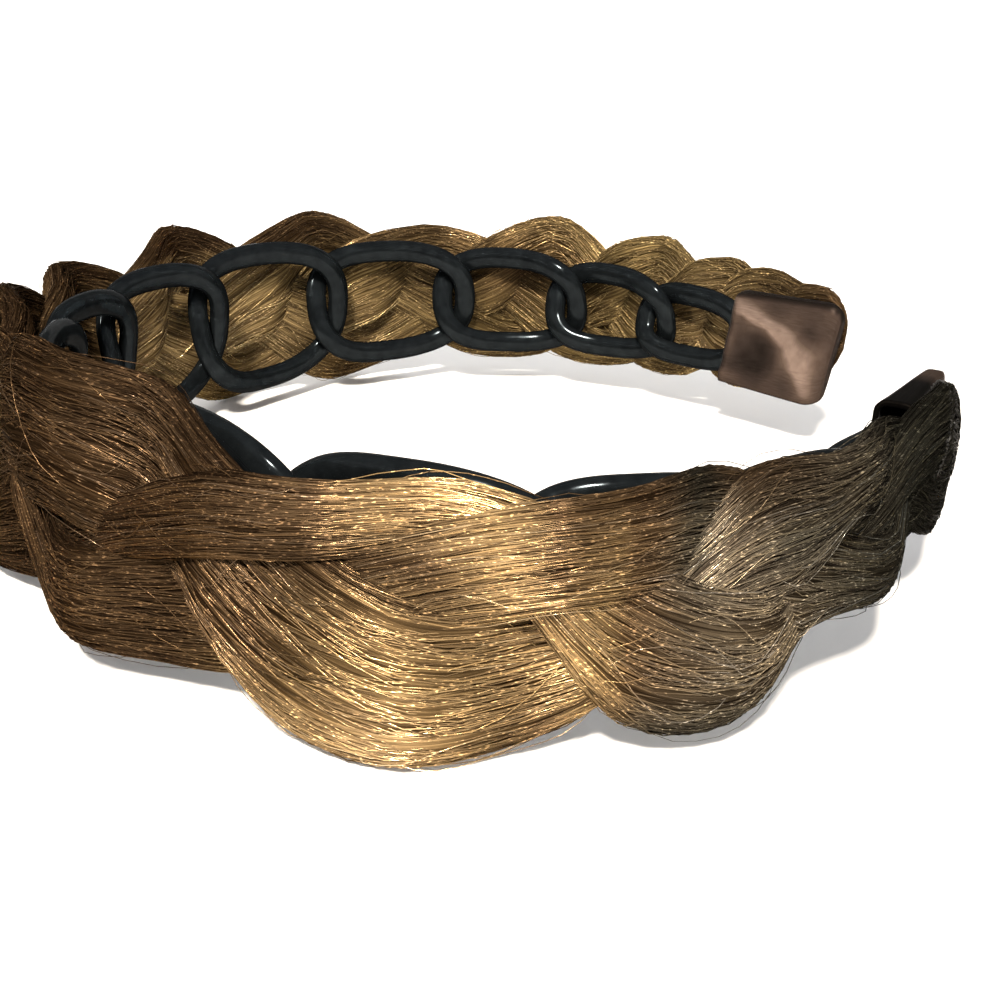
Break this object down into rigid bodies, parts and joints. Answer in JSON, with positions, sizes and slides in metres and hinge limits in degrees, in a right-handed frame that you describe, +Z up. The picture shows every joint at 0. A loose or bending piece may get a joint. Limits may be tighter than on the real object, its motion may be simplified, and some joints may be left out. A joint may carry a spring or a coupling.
{
  "type": "headband",
  "caption": "Braided headband: a gloss plastic curb chain bent to the head, a flat three-lock hair braid on its outer face and a satin wrap on each end.",
  "frame": {"origin": "on the floor, under the middle of the bounding box, with the band lying on its long edge", "axes": "+Z up, through the band's width; the crown is at -X, the tips and the way in are at +X, and the arms are at -Y (near) and +Y (far)"},
  "size_m": [0.1452, 0.1644, 0.0403],
  "materials": {
    "chain": "glossy black moulded plastic",
    "hair": "golden brown synthetic hair, brushed and braided",
    "satin": "mauve brown satin, folded"
  },
  "bodies": {
    "root": {"link_near_1": "chain", "link_near_2": "chain", "link_near_3": "chain", "link_near_4": "chain", "link_near_5": "chain", "link_near_6": "chain", "link_near_7": "chain", "link_far_1": "chain", "link_far_2": "chain", "link_far_3": "chain", "link_far_4": "chain", "link_far_5": "chain", "link_far_6": "chain", "link_far_7": "chain", "satin_near": "satin", "satin_far": "satin", "lock_a": "hair", "lock_b": "hair", "lock_c": "hair"}
  },
  "joints": []
}
